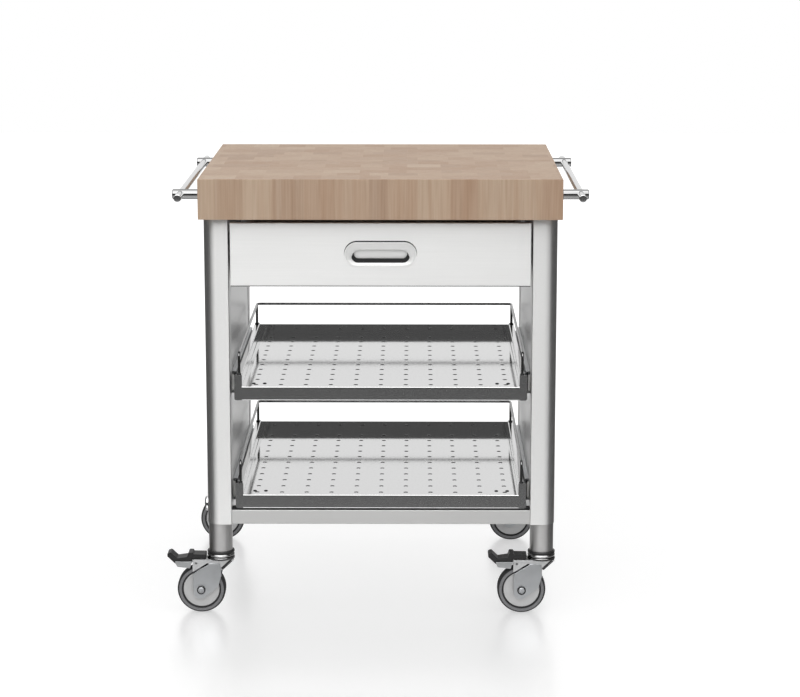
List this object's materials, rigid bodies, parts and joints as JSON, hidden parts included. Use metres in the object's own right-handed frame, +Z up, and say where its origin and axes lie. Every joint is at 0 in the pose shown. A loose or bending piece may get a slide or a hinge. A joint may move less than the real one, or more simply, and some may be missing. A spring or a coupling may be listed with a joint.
{
  "type": "kitchen trolley",
  "caption": "Steel kitchen trolley with a thick beech worktop, side bars, a drawer, pull-out perforated trays with wire rails, and swivel castors, the front ones braked.",
  "frame": {"origin": "on the floor under the middle of the worktop", "axes": "+Z up, +Y to the back, +X to the right as one faces the drawer"},
  "size_m": [0.8435, 0.676, 0.89],
  "materials": {
    "beech": "oiled end to end glued staves",
    "brushed_steel": "satin brushed stainless steel",
    "mirror_steel": "bright stainless sheet",
    "polished_steel": "polished stainless rod",
    "zinc_steel": "bright zinc plate",
    "black_plastic": "moulded nylon",
    "grey_plastic": "moulded polypropylene",
    "tyre_rubber": "matt dark grey rubber"
  },
  "bodies": {
    "frame": {"worktop": "beech", "left_casing": "brushed_steel", "right_casing": "brushed_steel", "left_inner_panel": "brushed_steel", "right_inner_panel": "brushed_steel", "front_bottom_rail": "brushed_steel", "rear_bottom_rail": "brushed_steel", "front_top_rail": "brushed_steel", "rear_top_rail": "brushed_steel", "left_side_cap": "brushed_steel", "front_left_leg": "brushed_steel", "front_right_leg": "brushed_steel", "rear_left_leg": "brushed_steel", "rear_right_leg": "brushed_steel", "left_handle_bar": "polished_steel", "right_handle_bar": "polished_steel", "left_handle_posts": "polished_steel", "right_handle_posts": "polished_steel", "drawer_slides_outer": "zinc_steel", "upper_tray_slides_outer": "zinc_steel", "lower_tray_slides_outer": "zinc_steel", "castor_pins": "zinc_steel", "leg_sockets": "black_plastic"},
    "drawer": {"drawer_front": "brushed_steel", "drawer_box": "brushed_steel", "drawer_pull_cup": "brushed_steel", "drawer_slides_inner": "zinc_steel"},
    "drawer_middle": {"drawer_slides_middle": "zinc_steel"},
    "upper_tray": {"upper_tray": "mirror_steel", "upper_tray_rail": "polished_steel", "upper_tray_slides_inner": "zinc_steel"},
    "upper_tray_middle": {"upper_tray_slides_middle": "zinc_steel"},
    "lower_tray": {"lower_tray": "mirror_steel", "lower_tray_rail": "polished_steel", "lower_tray_slides_inner": "zinc_steel"},
    "lower_tray_middle": {"lower_tray_slides_middle": "zinc_steel"},
    "front_left_castor": {"front_left_fork": "zinc_steel", "front_left_axle": "zinc_steel"},
    "front_left_wheel": {"front_left_wheel_core": "grey_plastic", "front_left_tyre": "tyre_rubber"},
    "front_right_castor": {"front_right_fork": "zinc_steel", "front_right_axle": "zinc_steel"},
    "front_right_wheel": {"front_right_wheel_core": "grey_plastic", "front_right_tyre": "tyre_rubber"},
    "rear_left_castor": {"rear_left_fork": "zinc_steel", "rear_left_axle": "zinc_steel"},
    "rear_left_wheel": {"rear_left_wheel_core": "grey_plastic", "rear_left_tyre": "tyre_rubber"},
    "rear_right_castor": {"rear_right_fork": "zinc_steel", "rear_right_axle": "zinc_steel"},
    "rear_right_wheel": {"rear_right_wheel_core": "grey_plastic", "rear_right_tyre": "tyre_rubber"},
    "front_left_brake": {"front_left_brake_lever": "zinc_steel", "front_left_brake_pedal": "black_plastic"},
    "front_right_brake": {"front_right_brake_lever": "zinc_steel", "front_right_brake_pedal": "black_plastic"}
  },
  "joints": [
    {"name": "drawer_slide", "type": "slide", "parent": "frame", "child": "drawer", "axis": [0, -1, 0], "range_m": [0, 0.45]},
    {"name": "drawer_middle_slide", "type": "slide", "parent": "frame", "child": "drawer_middle", "axis": [0, -1, 0], "range_m": [0, 0.225]},
    {"name": "upper_tray_slide", "type": "slide", "parent": "frame", "child": "upper_tray", "axis": [0, -1, 0], "range_m": [0, 0.45]},
    {"name": "upper_tray_middle_slide", "type": "slide", "parent": "frame", "child": "upper_tray_middle", "axis": [0, -1, 0], "range_m": [0, 0.225]},
    {"name": "lower_tray_slide", "type": "slide", "parent": "frame", "child": "lower_tray", "axis": [0, -1, 0], "range_m": [0, 0.45]},
    {"name": "lower_tray_middle_slide", "type": "slide", "parent": "frame", "child": "lower_tray_middle", "axis": [0, -1, 0], "range_m": [0, 0.225]},
    {"name": "front_left_swivel", "type": "hinge", "parent": "frame", "child": "front_left_castor", "pos_m": [-0.325, -0.271, 0.115], "axis": [0, 0, 1], "continuous": true},
    {"name": "front_left_roll", "type": "hinge", "parent": "front_left_castor", "child": "front_left_wheel", "pos_m": [-0.365, -0.271, 0.049], "axis": [0, 1, 0], "continuous": true},
    {"name": "front_right_swivel", "type": "hinge", "parent": "frame", "child": "front_right_castor", "pos_m": [0.325, -0.271, 0.115], "axis": [0, 0, 1], "continuous": true},
    {"name": "front_right_roll", "type": "hinge", "parent": "front_right_castor", "child": "front_right_wheel", "pos_m": [0.285, -0.271, 0.049], "axis": [0, 1, 0], "continuous": true},
    {"name": "rear_left_swivel", "type": "hinge", "parent": "frame", "child": "rear_left_castor", "pos_m": [-0.325, 0.271, 0.115], "axis": [0, 0, 1], "continuous": true},
    {"name": "rear_left_roll", "type": "hinge", "parent": "rear_left_castor", "child": "rear_left_wheel", "pos_m": [-0.365, 0.271, 0.049], "axis": [0, 1, 0], "continuous": true},
    {"name": "rear_right_swivel", "type": "hinge", "parent": "frame", "child": "rear_right_castor", "pos_m": [0.325, 0.271, 0.115], "axis": [0, 0, 1], "continuous": true},
    {"name": "rear_right_roll", "type": "hinge", "parent": "rear_right_castor", "child": "rear_right_wheel", "pos_m": [0.285, 0.271, 0.049], "axis": [0, 1, 0], "continuous": true},
    {"name": "front_left_brake_press", "type": "hinge", "parent": "front_left_castor", "child": "front_left_brake", "pos_m": [-0.375, -0.271, 0.104], "axis": [0, -1, 0], "range_deg": [0, 10]},
    {"name": "front_right_brake_press", "type": "hinge", "parent": "front_right_castor", "child": "front_right_brake", "pos_m": [0.275, -0.271, 0.104], "axis": [0, -1, 0], "range_deg": [0, 10]}
  ],
  "couplings": [
    {"joint": "drawer_middle_slide", "follows": "drawer_slide", "ratio": 0.5},
    {"joint": "upper_tray_middle_slide", "follows": "upper_tray_slide", "ratio": 0.5},
    {"joint": "lower_tray_middle_slide", "follows": "lower_tray_slide", "ratio": 0.5}
  ]
}
